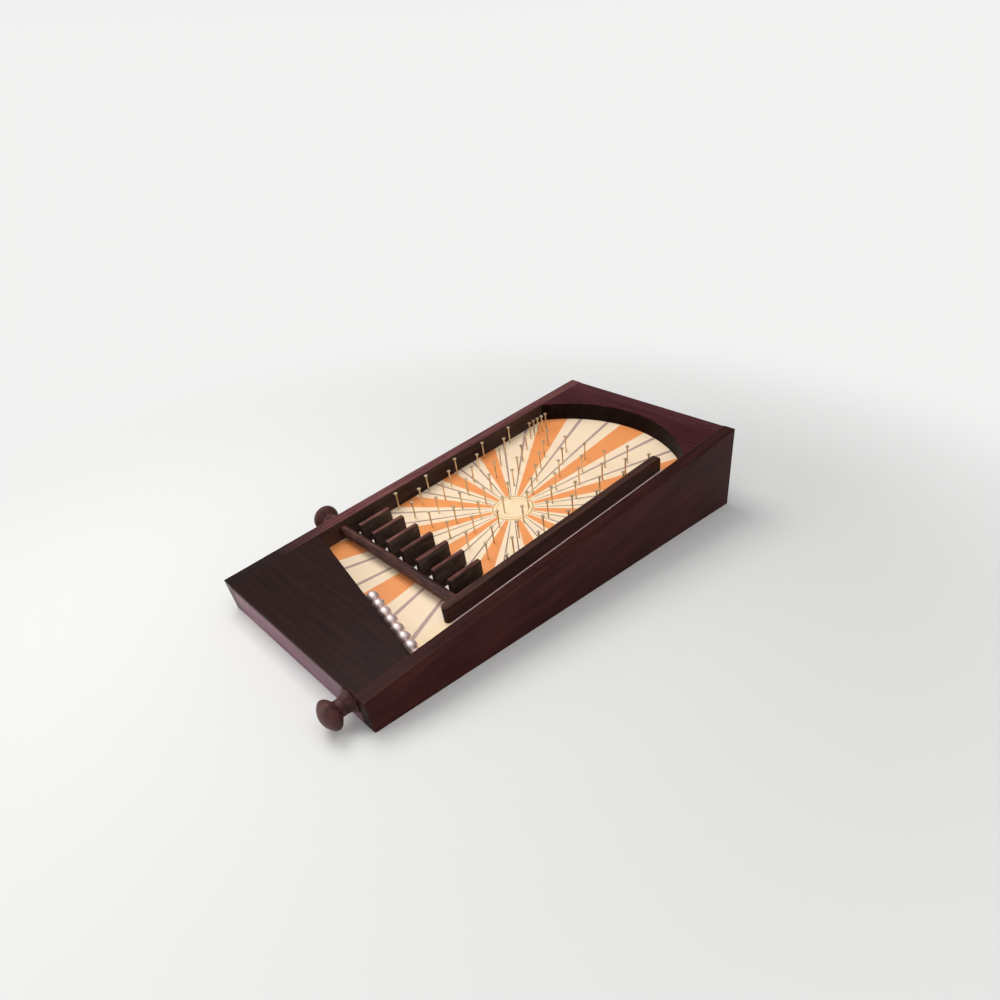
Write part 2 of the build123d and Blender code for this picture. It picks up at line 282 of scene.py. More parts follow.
@dataclass(frozen=True)
class StainedWood:
    """Rubberwood boards, given a dark red-brown wiping stain and sprayed with satin lacquer.

    The stain sinks unevenly, which gives redder blotches and dark streaks with the fibres. The open pores
    stay as fine dark dashes, the eased edges are paler, partly from thinner stain and partly as a painted
    highlight, and the lacquer has a soft gloss over all of it. Tops and flanks differ in tone as painted
    light and shade, for how each face is lit, and a top's front part may be painted darker as shade. Each set
    of tones goes from the darkest streak to the palest. End grain drinks more stain and lacquer, so ends have
    a tone and a coat of their own.

    Attributes:
        flank_shading: Tones of the flanks, painted darker or lighter than the top's for how they are lit.
        shaded_front: Tones of a top's front part, painted darker as shade.
        shade_fade: How far up the slope the painted shade on such a top begins to lift, and where it is gone.
        blotch_share: Share of the blotches in the figure, against the growth rings.
        fibre_share: Share of the fine fibres in the streaks, against the figure.
        tone_stops: Where the three tones lie in the streaks' range.
        top_facing: How squarely a face looks off the board where the top's tone begins and is full.
        end_facing: How squarely a face meets the fibres where end grain begins and is full.
        pore_tip: Range of the fine noise in which a pore opens.
        pore_shade: What a pore leaves of the colour.
        edge_bend: How far the rounded normal agrees with the true one where the paler edge begins and is
            full.
        edge_rub_and_highlight: The most that an edge is made paler, by thinner stain and a painted highlight.
        gloss_spread: What the darkest and the palest streaks add to the roughness.
        fibre_height: Height of a fibre against the depth of a pore.
    """

    name: str
    top: Tones
    edge: str
    flank_shading: Tones | None = None
    end: str = "#241512"
    end_share: float = 0.85
    roughness: float = 0.44
    specular: float = 0.07
    coat: float = 0.03
    end_coat: float = 0.05
    coat_roughness: float = 0.15
    ring_pitch: float = 0.009
    ring_sway: float = 0.016
    sway_length: float = 0.24
    sway_width: float = 0.045
    blotch_length: float = 0.075
    blotch_width: float = 0.012
    fibre_length: float = 0.05
    fibre_width: float = 0.0012
    # Real pores are about 0.2 mm wide and wouldn't show, so they are drawn four times as wide
    pore_length: float = 0.009
    pore_width: float = 0.0008
    edge_width: float = 0.0014
    relief: float = 0.00012
    relief_strength: float = 0.35
    shaded_front: Tones | None = None
    shade_fade: Pair = (0.045, 0.115)
    noise_roughness: float = 0.55
    blotch_share: float = 0.8
    fibre_share: float = 0.34
    tone_stops: Vec3 = (0.33, 0.5, 0.69)
    top_facing: Pair = (0.3, 0.65)
    end_facing: Pair = (0.75, 0.9)
    pore_tip: Pair = (0.60, 0.72)
    pore_shade: float = 0.55
    edge_bend: Pair = (0.995, 0.80)
    edge_rub_and_highlight: float = 0.7
    gloss_spread: Pair = (-0.06, 0.08)
    fibre_height: float = 0.5

    def material(self, slope: SlopeFrame, board: str, grain: Grain, shift: np.ndarray) -> bpy.types.Material:
        """Makes the wood of one board.

        Args:
            slope: The playfield's frame, which the fibres follow.
            board: Name of the board.
            grain: Direction of its fibres.
            shift: Place in the timber that it is cut from, so that no two boards are alike.

        Returns:
            The board's material.
        """
        material, tree, shader, place = blank(f"{self.name}.{board}")
        cut = add(tree, "Mapping", {
            "Vector": place, "Location": shift.tolist(), "Rotation": (slope.tilt, 0, 0)},
            vector_type="TEXTURE")
        parts = add(tree, "SeparateXYZ", {0: cut.outputs[0]})

        def marks(along: float, across: float, detail: float) -> bpy.types.NodeSocket:
            """Draws a noise out with the fibres.

            Args:
                along: Length of a mark with the fibres.
                across: Width of a mark across them.
                detail: Steps of finer noise in it.

            Returns:
                The noise, from 0 to 1.
            """
            stretched = add(tree, "VectorMath", {
                0: cut.outputs[0], 1: grain.stretch(along, across)}, operation="MULTIPLY")
            noise = add(tree, "TexNoise", {
                "Vector": stretched.outputs[0], "Scale": 1.0, "Detail": detail,
                "Roughness": self.noise_roughness})
            return noise.outputs["Fac"]

        sway = marks(self.sway_length, self.sway_width, detail=2)
        blotch = marks(self.blotch_length, self.blotch_width, detail=3)
        fibre = marks(self.fibre_length, self.fibre_width, detail=2)
        pore = marks(self.pore_length, self.pore_width, detail=1)

        # Growth rings: a sine of the distance across the board, pushed to either side by the slow sway
        across = parts.outputs["XY"[1 - grain.value]]
        swayed = add(tree, "Math", {
            0: sway, 1: 4 * math.pi * self.ring_sway / self.ring_pitch}, operation="MULTIPLY")
        phase = add(tree, "Math", {
            0: across, 1: 2 * math.pi / self.ring_pitch, 2: swayed.outputs[0]}, operation="MULTIPLY_ADD")
        ring = add(tree, "Math", {0: phase.outputs[0]}, operation="SINE")
        rings = add(tree, "MapRange", {"Value": ring.outputs[0], "From Min": -1.0, "From Max": 1.0})
        figure = add(tree, "Mix", {
            "Factor": self.blotch_share, "A": rings.outputs[0], "B": blotch}, data_type="FLOAT")
        streaky = add(tree, "Mix", {
            "Factor": self.fibre_share, "A": figure.outputs[0], "B": fibre}, data_type="FLOAT")

        def stained(tones: Tones) -> bpy.types.NodeSocket:
            """Stains the streaks.

            Args:
                tones: The darkest tone, the middle one and the palest.

            Returns:
                The stain's colour.
            """
            ramp = add(tree, "ValToRGB", {"Fac": streaky.outputs[0]})
            stops = ramp.color_ramp.elements
            stops.new(self.tone_stops[1])
            for stop, position, tone in zip(stops, self.tone_stops, tones):
                stop.position = position
                stop.color = linear(tone)
            return ramp.outputs["Color"]

        # Edges: where a rounded normal leaves the true one, the edge is paler, partly thinner stain and
        # partly a painted highlight
        true = add(tree, "NewGeometry").outputs["Normal"]
        rounded = add(tree, "Bevel", {"Radius": self.edge_width}, samples=4).outputs[0]
        bend = add(tree, "VectorMath", {0: true, 1: rounded}, operation="DOT_PRODUCT")
        rub_and_highlight = add(tree, "MapRange", {
            "Value": bend.outputs["Value"], **between(self.edge_bend), "To Max": self.edge_rub_and_highlight}).outputs[0]
        tone = stained(self.top)

        # Painted shade: a top's front part is darker, and its edges get no paler either
        if self.shaded_front:
            climb = add(tree, "VectorMath", {0: place, 1: slope.uphill()}, operation="DOT_PRODUCT")
            foot = Vector(slope.origin).dot(Vector(slope.uphill()))
            lit_share = add(tree, "MapRange", {
                "Value": climb.outputs["Value"], "From Min": foot + self.shade_fade[0],
                "From Max": foot + self.shade_fade[1]}).outputs[0]
            tone = add(tree, "Mix", {
                "Factor": lit_share, "A": stained(self.shaded_front), "B": tone}, data_type="RGBA").outputs["Result"]
            rub_and_highlight = add(tree, "Math", {0: rub_and_highlight, 1: lit_share}, operation="MULTIPLY").outputs[0]
        # Painted light and shade: faces that don't look off the board take the flanks' tones in place of the
        # top's
        if self.flank_shading:
            upward = add(tree, "VectorMath", {0: true, 1: slope.normal()}, operation="DOT_PRODUCT")
            top = add(tree, "MapRange", {"Value": upward.outputs["Value"], **between(self.top_facing)})
            tone = add(tree, "Mix", {
                "Factor": top.outputs[0], "A": stained(self.flank_shading), "B": tone},
                data_type="RGBA").outputs["Result"]

        # End grain: where the surface is square to the fibres
        facing = add(tree, "VectorMath", {0: true, 1: grain.direction(slope)}, operation="DOT_PRODUCT")
        square = add(tree, "Math", {0: facing.outputs["Value"]}, operation="ABSOLUTE").outputs[0]
        end = {"Value": square, **between(self.end_facing)}
        soaked = add(tree, "MapRange", {**end, "To Max": self.end_share})
        ended = add(tree, "Mix", {
            "Factor": soaked.outputs[0], "A": tone, "B": linear(self.end)}, data_type="RGBA")

        # Pores: the highest tips of a fine noise, as dark dashes that the lacquer doesn't fill
        dash = add(tree, "MapRange", {
            "Value": pore, **between(self.pore_tip), "To Min": 1.0, "To Max": self.pore_shade})
        pored = add(tree, "Mix", {
            "Factor": 1.0, "A": ended.outputs["Result"], "B": dash.outputs[0]},
            data_type="RGBA", blend_type="MULTIPLY")
        edge_paled = add(tree, "Mix", {
            "Factor": rub_and_highlight, "A": pored.outputs["Result"], "B": linear(self.edge)}, data_type="RGBA")

        smooth, rough = (self.roughness + added for added in self.gloss_spread)
        gloss = add(tree, "MapRange", {"Value": streaky.outputs[0], "To Min": smooth, "To Max": rough})
        sealed = add(tree, "MapRange", {**end, "To Min": self.coat, "To Max": self.end_coat})
        height = add(tree, "Math", {
            0: fibre, 1: self.fibre_height, 2: dash.outputs[0]}, operation="MULTIPLY_ADD")
        bump = add(tree, "Bump", {
            "Strength": self.relief_strength, "Distance": self.relief, "Height": height.outputs[0],
            "Normal": rounded})
        connect(tree, shader, {
            "Base Color": edge_paled.outputs["Result"], "Roughness": gloss.outputs[0],
            "Specular IOR Level": self.specular, "Coat Weight": sealed.outputs[0],
            "Coat Roughness": self.coat_roughness, "Normal": bump.outputs[0]})
        return material


@dataclass(frozen=True)
class PrintedRays:
    """Fibreboard with a screen-printed sunburst under satin varnish.

    Opaque inks lie flat and even, with a faint grain of the board under them; the sawn edges stay bare. The
    strip at the plunger's lane is plain, with a pale pink in the lane that is painted bounce light, and the
    slots' floors are painted dark as shade, with a pale spot at each mouth.

    Attributes:
        lane_u: Left border of the plain strip.
        lane_v: Where the lane begins and ends up the slope.
        slot_v: Where the painted shade on the slots' floors begins and ends.
        spot: Middle of one of the spots, in u and v.
        spot_pitch: Distance from one spot to the next.
        ray_half_share: Half the width of a ray, as a share of the rays' pitch.
        line_share: Place of a line between two rays, as the same share.
        fine_reach: How far from the burst the lines' denser ink begins to thin out, and where it ends.
        speckle: Range of the board's noise that shows, and speckle_shade what it leaves of the ink at most.
    """

    lane_u: float
    lane_v: Pair
    slot_v: Pair
    spot: Pair
    spot_pitch: float
    name: str = "printed_fibreboard"
    white: str = "#FFF6EE"
    bounce_blush: str = "#FFE3DB"
    cream: str = "#FDE2B8"
    pale: str = "#FBE3CA"
    orange: str = "#F59C5B"
    line: str = "#BA9A90"
    fine_line: str = "#86705A"
    tan: str = "#C9A05C"
    slot_shade: str = "#2C1F1A"
    bare: str = "#8C6A47"
    spot_radius: float = 0.0038
    rays: int = 12
    ray_half_share: float = 5.0 / 30.0
    line_share: float = 1.0 / 3.0
    line_half_share: float = 0.65 / 30.0
    soft_share: float = 0.004
    fine_reach: Pair = (0.045, 0.12)
    burst_u: float = 0.002
    burst_v: float = 0.273
    disc: float = 0.024
    ring: float = 0.0225
    ring_half: float = 0.0007
    inner_ring: float = 0.0185
    inner_ring_half: float = 0.0003
    edge_soft: float = 0.0002
    mottle: float = 0.06
    grit: float = 0.0009
    speckle: Pair = (0.3, 0.7)
    speckle_shade: float = 0.955
    relief: float = 0.00005
    relief_strength: float = 0.1
    gloss: Pair = (0.34, 0.48)
    varnish: float = 0.05
    varnish_roughness: float = 0.3
    specular: float = 0.25

    def material(self, slope: SlopeFrame) -> bpy.types.Material:
        """Makes the printed board: rays and lines by angle about the burst, and a plain ringed disc there.

        Args:
            slope: The playfield's frame.

        Returns:
            The board's material.
        """
        material, tree, shader, place = blank(self.name)
        local = add(tree, "Mapping", {
            "Vector": place, "Location": slope.point(self.burst_u, self.burst_v),
            "Rotation": (slope.tilt, 0, 0)}, vector_type="TEXTURE")
        parts = add(tree, "SeparateXYZ", {0: local.outputs[0]})
        flat = add(tree, "VectorMath", {0: local.outputs[0], 1: (1, 1, 0)}, operation="MULTIPLY")
        radius = add(tree, "VectorMath", {0: flat.outputs[0]}, operation="LENGTH").outputs["Value"]

        # Share of a ray's pitch, 0 on a ray's middle line and a half midway to the next
        angle = add(tree, "Math", {0: parts.outputs[0], 1: parts.outputs[1]}, operation="ARCTAN2")
        turn = add(tree, "Math", {
            0: angle.outputs[0], 1: self.rays / (2 * math.pi), 2: 0.5}, operation="MULTIPLY_ADD")
        step = add(tree, "Math", {0: turn.outputs[0]}, operation="FRACT")
        swing = add(tree, "Math", {0: step.outputs[0], 1: 0.5}, operation="SUBTRACT")
        share = add(tree, "Math", {0: swing.outputs[0]}, operation="ABSOLUTE").outputs[0]

        def band(value: bpy.types.NodeSocket, middle: float, half: float,
                 soft: float = self.edge_soft) -> bpy.types.NodeSocket:
            """Marks off a band: the distance from its middle, turned to one inside and zero outside.

            Args:
                value: What is measured.
                middle: Its value in the band's middle.
                half: Half the band's width.
                soft: Half the width of its border.

            Returns:
                The band.
            """
            away = add(tree, "Math", {0: value, 1: middle}, operation="SUBTRACT")
            size = add(tree, "Math", {0: away.outputs[0]}, operation="ABSOLUTE")
            inside = add(tree, "MapRange", {
                "Value": size.outputs[0], "From Min": half + soft, "From Max": half - soft})
            return inside.outputs[0]

        def span(value: bpy.types.NodeSocket, start: float, end: float) -> bpy.types.NodeSocket:
            """One between two values, zero outside."""
            return band(value, (start + end) / 2, (end - start) / 2)

        def ink(below: bpy.types.NodeSocket, tone: str, *areas: bpy.types.NodeSocket) -> bpy.types.NodeSocket:
            """Lays one ink where all the areas overlap.

            Args:
                below: Colour of what is printed already.
                tone: Colour of the ink.
                areas: One where the ink may lie, zero elsewhere.

            Returns:
                The colour with the ink on it.
            """
            where = areas[0]
            for area in areas[1:]:
                where = add(tree, "Math", {0: where, 1: area}, operation="MULTIPLY").outputs[0]
            laid = add(tree, "Mix", {"Factor": where, "A": below, "B": linear(tone)}, data_type="RGBA")
            return laid.outputs["Result"]

        clouds = add(tree, "TexNoise", {
            "Vector": local.outputs[0], "Scale": 1 / self.mottle, "Detail": 2.0})
        ground = add(tree, "Mix", {
            "Factor": clouds.outputs["Fac"], "A": linear(self.cream), "B": linear(self.pale)},
            data_type="RGBA")
        # The lines taper to the burst, and their ink is denser where they are fine
        lines = band(share, self.line_share, self.line_half_share, self.soft_share)
        spread = add(tree, "MapRange", {"Value": radius, **between(self.fine_reach)})
        line = add(tree, "Mix", {
            "Factor": spread.outputs[0], "A": linear(self.fine_line), "B": linear(self.line)},
            data_type="RGBA")
        lined = add(tree, "Mix", {
            "Factor": lines, "A": ground.outputs["Result"], "B": line.outputs["Result"]}, data_type="RGBA")
        colour = lined.outputs["Result"]
        colour = ink(colour, self.orange, band(share, 0.0, self.ray_half_share, self.soft_share))
        colour = ink(colour, self.cream, band(radius, 0.0, self.disc))
        colour = ink(colour, self.tan, band(radius, self.ring, self.ring_half))
        colour = ink(colour, self.tan, band(radius, self.inner_ring, self.inner_ring_half))

        # The strip at the lane is the ground colour as far as the lane, and in it a pale pink that is painted
        # bounce light
        u, v, w = parts.outputs
        lane_side = self.lane_u - self.burst_u
        strip = span(u, lane_side, slope.length)
        start, end = (border - self.burst_v for border in self.lane_v)
        colour = ink(colour, self.cream, strip, span(v, -slope.length, start))
        colour = ink(colour, self.bounce_blush, strip, span(v, start, end))

        # Painted shade: the slots' floors are laid dark, with a round white spot every pitch
        start, end = (border - self.burst_v for border in self.slot_v)
        floors = span(u, -slope.length, lane_side), span(v, start, end)
        colour = ink(colour, self.slot_shade, *floors)
        nearest = add(tree, "Math", {
            0: u, 1: self.spot[0] - self.burst_u + self.spot_pitch / 2}, operation="SUBTRACT")
        pitched = add(tree, "Math", {
            0: nearest.outputs[0], 1: self.spot_pitch}, operation="FLOORED_MODULO")
        aside = add(tree, "Math", {0: pitched.outputs[0], 1: self.spot_pitch / 2}, operation="SUBTRACT")
        ahead = add(tree, "Math", {0: v, 1: self.spot[1] - self.burst_v}, operation="SUBTRACT")
        offset = add(tree, "CombineXYZ", {0: aside.outputs[0], 1: ahead.outputs[0]})
        reach = add(tree, "VectorMath", {0: offset.outputs[0]}, operation="LENGTH")
        colour = ink(colour, self.white, *floors, band(reach.outputs["Value"], 0.0, self.spot_radius))

        # A fine speckle of the board under the ink, and bare board below the printed face
        speckle = add(tree, "TexNoise", {
            "Vector": local.outputs[0], "Scale": 1 / self.grit, "Detail": 2.0})
        tint = add(tree, "MapRange", {
            "Value": speckle.outputs["Fac"], **between(self.speckle), "To Min": self.speckle_shade})
        grained = add(tree, "Mix", {
            "Factor": 1.0, "A": colour, "B": tint.outputs[0]}, data_type="RGBA", blend_type="MULTIPLY")
        printed = add(tree, "MapRange", {
            "Value": w, "From Min": -2 * self.edge_soft, "From Max": -self.edge_soft})
        whole = add(tree, "Mix", {
            "Factor": printed.outputs[0], "A": linear(self.bare), "B": grained.outputs["Result"]},
            data_type="RGBA")
        gloss = add(tree, "MapRange", {
            "Value": clouds.outputs["Fac"], "To Min": self.gloss[0], "To Max": self.gloss[1]})
        bump = add(tree, "Bump", {
            "Strength": self.relief_strength, "Distance": self.relief, "Height": speckle.outputs["Fac"]})
        connect(tree, shader, {
            "Base Color": whole.outputs["Result"], "Roughness": gloss.outputs[0],
            "Specular IOR Level": self.specular, "Coat Weight": self.varnish,
            "Coat Roughness": self.varnish_roughness, "Normal": bump.outputs[0]})
        return material


@dataclass(frozen=True)
class Metal:
    """A bare metal whose tarnish or rolling marks vary its colour and polish.

    A tumbled bearing ball has a soft bright shine, drawn brass wire a warm broken one, and drawn steel is
    dull.

    Attributes:
        polish: Roughness where the metal is brightest, and roughest where it is dullest.
        cloud: Size of a cloud of tarnish.
        mark: Size of a fine mark.
        tarnish: Range of the clouds over which the colour passes from bright to dull.
        dulling: Range of the clouds over which the roughness grows.
    """

    name: str
    bright: str
    dull: str
    polish: float
    roughest: float
    cloud: float
    mark: float
    relief: float
    relief_strength: float = 0.15
    tarnish: Pair = (0.35, 0.7)
    dulling: Pair = (0.3, 0.7)

    def material(self) -> bpy.types.Material:
        """Makes the metal: clouds of tarnish over fine marks.

        Returns:
            The metal's material.
        """
        material, tree, shader, place = blank(self.name)
        clouds = add(tree, "TexNoise", {"Vector": place, "Scale": 1 / self.cloud, "Detail": 3.0})
        marks = add(tree, "TexNoise", {"Vector": place, "Scale": 1 / self.mark, "Detail": 2.0})
        spread = add(tree, "MapRange", {"Value": clouds.outputs["Fac"], **between(self.tarnish)})
        colour = add(tree, "Mix", {
            "Factor": spread.outputs[0], "A": linear(self.bright), "B": linear(self.dull)},
            data_type="RGBA")
        gloss = add(tree, "MapRange", {
            "Value": clouds.outputs["Fac"], **between(self.dulling), "To Min": self.polish,
            "To Max": self.roughest})
        bump = add(tree, "Bump", {
            "Strength": self.relief_strength, "Distance": self.relief, "Height": marks.outputs["Fac"]})
        connect(tree, shader, {
            "Base Color": colour.outputs["Result"], "Roughness": gloss.outputs[0], "Metallic": 1.0,
            "Normal": bump.outputs[0]})
        return material


@dataclass(frozen=True)
class Speckled:
    """A matt material with a fine speckle: moulded nylon, pressed hardboard or sawn softwood.

    Nylon looks milky and even, hardboard brown and fibrous, and sawn softwood pale and streaked.
    """

    name: str
    light: str
    dark: str
    roughness: float
    speck: Vec3
    relief: float
    relief_strength: float = 0.4
    gloss_spread: float = 0.08

    def material(self) -> bpy.types.Material:
        """Makes the material from one noise, drawn out by the speck's three sizes.

        Returns:
            The material.
        """
        material, tree, shader, place = blank(self.name)
        stretched = add(tree, "VectorMath", {
            0: place, 1: tuple(1 / size for size in self.speck)}, operation="MULTIPLY")
        specks = add(tree, "TexNoise", {"Vector": stretched.outputs[0], "Scale": 1.0, "Detail": 4.0})
        colour = add(tree, "Mix", {
            "Factor": specks.outputs["Fac"], "A": linear(self.dark), "B": linear(self.light)},
            data_type="RGBA")
        gloss = add(tree, "MapRange", {
            "Value": specks.outputs["Fac"], "To Min": self.roughness - self.gloss_spread,
            "To Max": self.roughness + self.gloss_spread})
        bump = add(tree, "Bump", {
            "Strength": self.relief_strength, "Distance": self.relief, "Height": specks.outputs["Fac"]})
        connect(tree, shader, {
            "Base Color": colour.outputs["Result"], "Roughness": gloss.outputs[0], "Normal": bump.outputs[0]})
        return material


# Painted light: the left wall is a lit copy of the right wall's stain, with its inner face painted darker as
# shade and its front end painted as a mauve sheen like the front board's
LEFT_WALL = StainedWood("lit_rubberwood", top=("#482425", "#623838", "#794B49"), edge="#8A5A54",
                        flank_shading=("#2E201C", "#423029", "#554037"), end="#4C2E38", end_coat=0.18,
                        shaded_front=("#160B09", "#1E100D", "#281713"))
# Painted shade: the right wall is a shaded copy of the left wall's stain
RIGHT_WALL = StainedWood("shaded_rubberwood", top=("#260F0C", "#331613", "#41201B"), edge="#55302A",
                         flank_shading=("#2D100E", "#3B1816", "#49211E"), specular=0.05)
REAR = StainedWood("wine_rubberwood", top=("#3C181B", "#492025", "#562930"), edge="#6A3A40",
                   flank_shading=("#260F0C", "#331613", "#41201B"))
# Painted shade: the arch's flanks are near black for the shade on its inner face
ARCH = StainedWood("arch_rubberwood", top=("#37171A", "#431E22", "#50272C"), edge="#5C3236",
                   flank_shading=("#120907", "#1A0F0C", "#241612"), specular=0.03, coat=0.0)
# Painted sheen: the front board's pale mauve tones are a painted reflection of light off its face, over its
# real coat
FRONT = StainedWood("lacquer_and_sheen_rubberwood", top=("#5E3846", "#724957", "#845A68"), edge="#8F6673",
                    specular=0.15, coat=0.15, coat_roughness=0.2)
APRON = StainedWood("espresso_rubberwood", top=("#1E0E0B", "#26120E", "#2F1712"), edge="#4A2E28",
                    specular=0.05)
# Painted light: the lane rail's flanks are lifted against the shade in the lane
LANE_RAIL = StainedWood("lane_rubberwood", top=("#33201A", "#452C25", "#583A31"), edge="#5C3E36",
                        flank_shading=("#2E1A15", "#3F241D", "#523028"))
# Painted light: the slot rails' flanks are lifted against the shade between them
SLOT_RAIL = StainedWood("slot_rubberwood", top=("#43241F", "#603A34", "#82564C"), edge="#6E4A40",
                        flank_shading=("#382A24", "#524037", "#6B564A"), blotch_length=0.014, blotch_width=0.005)
DOWEL = StainedWood("dowelled_rubberwood", top=("#1E0D0A", "#42241E", "#6E4438"), edge="#664138",
                    end="#42241E", specular=0.15, blotch_length=0.02, blotch_width=0.007)
BUSH = StainedWood("turned_rubberwood", top=("#341D1B", "#442725", "#543431"), edge="#623F3B",
                   end="#482A28", specular=0.15)
# Painted light: the knobs are a lit copy of the bush's turned wood, lifted against the shade on their
# undersides
KNOB = StainedWood("lit_knob_rubberwood", top=("#3C2120", "#4E2E2B", "#603C38"), edge="#6E4743",
                   end="#54322F", specular=0.15)
BRASS = Metal("drawn_brass", bright="#E8D6B4", dull="#B39A74", polish=0.36, roughest=0.52, cloud=0.012,
              mark=0.0008, relief=0.00002)
# Painted reflection: the steel's pink tint stands for the warm red-brown surroundings mirrored in the balls
BALL_STEEL = Metal("satin_bearing_steel", bright="#F6E2DE", dull="#E3CFC9", polish=0.42, roughest=0.54,
                   cloud=0.006, mark=0.001, relief=0.000006)
DRAWN_STEEL = Metal("drawn_steel", bright="#C4C6C9", dull="#9A9DA1", polish=0.22, roughest=0.4, cloud=0.008,
                    mark=0.0006, relief=0.00003)
NYLON = Speckled("moulded_nylon", light="#E9E4D6", dark="#D8D2C2", roughness=0.42,
                 speck=(0.0012, 0.0012, 0.0012), relief=0.00003)
HARDBOARD = Speckled("pressed_hardboard", light="#8A6746", dark="#5F442D", roughness=0.7,
                     speck=(0.004, 0.002, 0.002), relief=0.0001)
SOFTWOOD = Speckled("sawn_softwood", light="#D8B888", dark="#B8925F", roughness=0.65,
                    speck=(0.0025, 0.06, 0.0025), relief=0.0001)


@dataclass
class Cabinet:
    """Boards of the cabinet, the arch, the apron, the fence and the rails."""

    slope: SlopeFrame
    draw: np.random.Generator
    slot_dividers: int = 7

    def boards(self) -> dict[str, tuple[StainedWood, Grain]]:
        """Lists the boards.

        Returns:
            Each board's node, to the wood it is cut from and the way its fibres run.
        """
        boards = {
            "left_wall": (LEFT_WALL, Grain.UP_SLOPE), "right_wall": (RIGHT_WALL, Grain.UP_SLOPE),
            "rear_panel": (REAR, Grain.ACROSS), "arch_block": (ARCH, Grain.ACROSS),
            "front_panel": (FRONT, Grain.ACROSS), "apron_panel": (APRON, Grain.ACROSS),
            "ball_fence": (LANE_RAIL, Grain.ACROSS), "lane_divider": (LANE_RAIL, Grain.UP_SLOPE)}
        for number in range(1, self.slot_dividers + 1):
            boards[f"slot_divider_{number}"] = (SLOT_RAIL, Grain.UP_SLOPE)
        return boards

    def dress(self) -> None:
        """Stains every board, each from its own place in the timber."""
        for board, (wood, grain) in self.boards().items():
            dress(board, wood.material(self.slope, board, grain, cut_from(self.draw)))
        dress("base_panel", HARDBOARD.material())
        cleat_wood = SOFTWOOD.material()
        for cleat in ("cleat_left", "cleat_right"):
            dress(cleat, cleat_wood)


@dataclass
class Playfield:
    """Printed board with its rows of brass pins.

    Attributes:
        spot_aside: Distance of a spot to the left of its slot's divider.
        spot_ahead: Distance of a spot up the slope from the divider's front.
        floor_short: How far the painted shade on the slots' floors stops short of the dividers' rear ends.
        lane_inset: How far behind the lane divider's front end the lane's painted bounce light begins.
    """

    slope: SlopeFrame
    pin_rows: int = 11
    spot_aside: float = 0.008
    spot_ahead: float = 0.0045
    floor_short: float = 0.002
    lane_inset: float = 0.006

    def rays(self) -> PrintedRays:
        """Lays the print out round the lane and the slots.

        Returns:
            The print with its borders.
        """
        lane_low, lane_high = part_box("lane_divider")
        lane_front = self.slope.up_slope(lane_low) + self.lane_inset
        first_low, first_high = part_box("slot_divider_1")
        next_low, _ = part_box("slot_divider_2")
        slot_end = self.slope.up_slope(Vector((0, first_high.y, first_low.z)))
        slot_mouth = self.slope.up_slope(Vector((0, first_low.y, first_high.z)))
        return PrintedRays(
            lane_u=lane_low.x,
            lane_v=(lane_front, self.slope.up_slope(lane_high)),
            slot_v=(self.slope.up_slope(middle_of("gate_rod")), slot_end - self.floor_short),
            spot=(first_low.x - self.spot_aside, slot_mouth + self.spot_ahead),
            spot_pitch=next_low.x - first_low.x)

    def dress(self) -> None:
        """Prints the board and gives the pins their brass."""
        dress("playfield_board", self.rays().material(self.slope))
        brass = BRASS.material()
        for pins in [f"pin_row_{row}" for row in range(1, self.pin_rows + 1)] + ["pin_guard"]:
            dress(pins, brass)


@dataclass
class CompressionSpring:
    """One steel wire wound round the plunger's rod, which on the real game shortens as the plunger is pulled;
    this piece keeps its rest length.

    Attributes:
        wire: Thickness of the wire.
        coil: Diameter of the coil at the wire's middle.
        turns: Number of turns.
        seat: Distance from the collar's middle back to the wire's middle at the spring's end.
        turn_stations: Rings of points in one turn.
        wire_sides: Points in one ring.
    """

    slope: SlopeFrame
    wire: float = 0.0012
    coil: float = 0.010
    turns: int = 7
    seat: float = 0.0019
    turn_stations: int = 48
    wire_sides: int = 12

    def surface(self, middle: np.ndarray, length: float) -> np.ndarray:
        """Points of the wire's skin: a circle carried along a helix, square to the helix's way.

        Args:
            middle: Middle of the spring on the plunger's axis.
            length: Length of the spring from the wire's middle to its middle.

        Returns:
            Rings of points along the wire, as stations by sides by three.
        """
        uphill = np.array(self.slope.uphill())
        turn = np.linspace(0, self.turns, self.turns * self.turn_stations + 1)[:, None]
        angle = 2 * math.pi * turn
        outward = self.slope.around(angle)
        path = middle + outward * self.coil / 2 + uphill * (turn / self.turns - 0.5) * length
        way = self.slope.around(angle + math.pi / 2) * math.pi * self.coil + uphill * length / self.turns
        way /= np.linalg.norm(way, axis=1, keepdims=True)
        beside = np.cross(way, outward)
        round_wire = np.linspace(0, 2 * math.pi, self.wire_sides, endpoint=False)[None, :, None]
        skin = outward[:, None] * np.cos(round_wire) + beside[:, None] * np.sin(round_wire)
        return path[:, None] + skin * self.wire / 2

    def build(self, material: bpy.types.Material) -> None:
        """Winds the wire and sets it on the cabinet in the carried-over spring's place.

        Args:
            material: The wire's metal.
        """
        uphill = Vector(self.slope.uphill())
        middle = middle_of("plunger_spring")
        length = 2 * ((middle_of("plunger_collar") - middle).dot(uphill) - self.seat)
        rings = self.surface(np.array(middle), length)
        stations, sides, _ = rings.shape
        number = np.arange(stations * sides).reshape(stations, sides)
        following = np.roll(number, -1, axis=1)
        skin = np.stack((number[:-1], following[:-1], following[1:], number[1:]), axis=-1).reshape(-1, 4)
        caps = [number[0, ::-1].tolist(), number[-1].tolist()]
        spring = stand_in("wound_spring", "plunger_spring", rings, skin.tolist() + caps, material)
        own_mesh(spring)


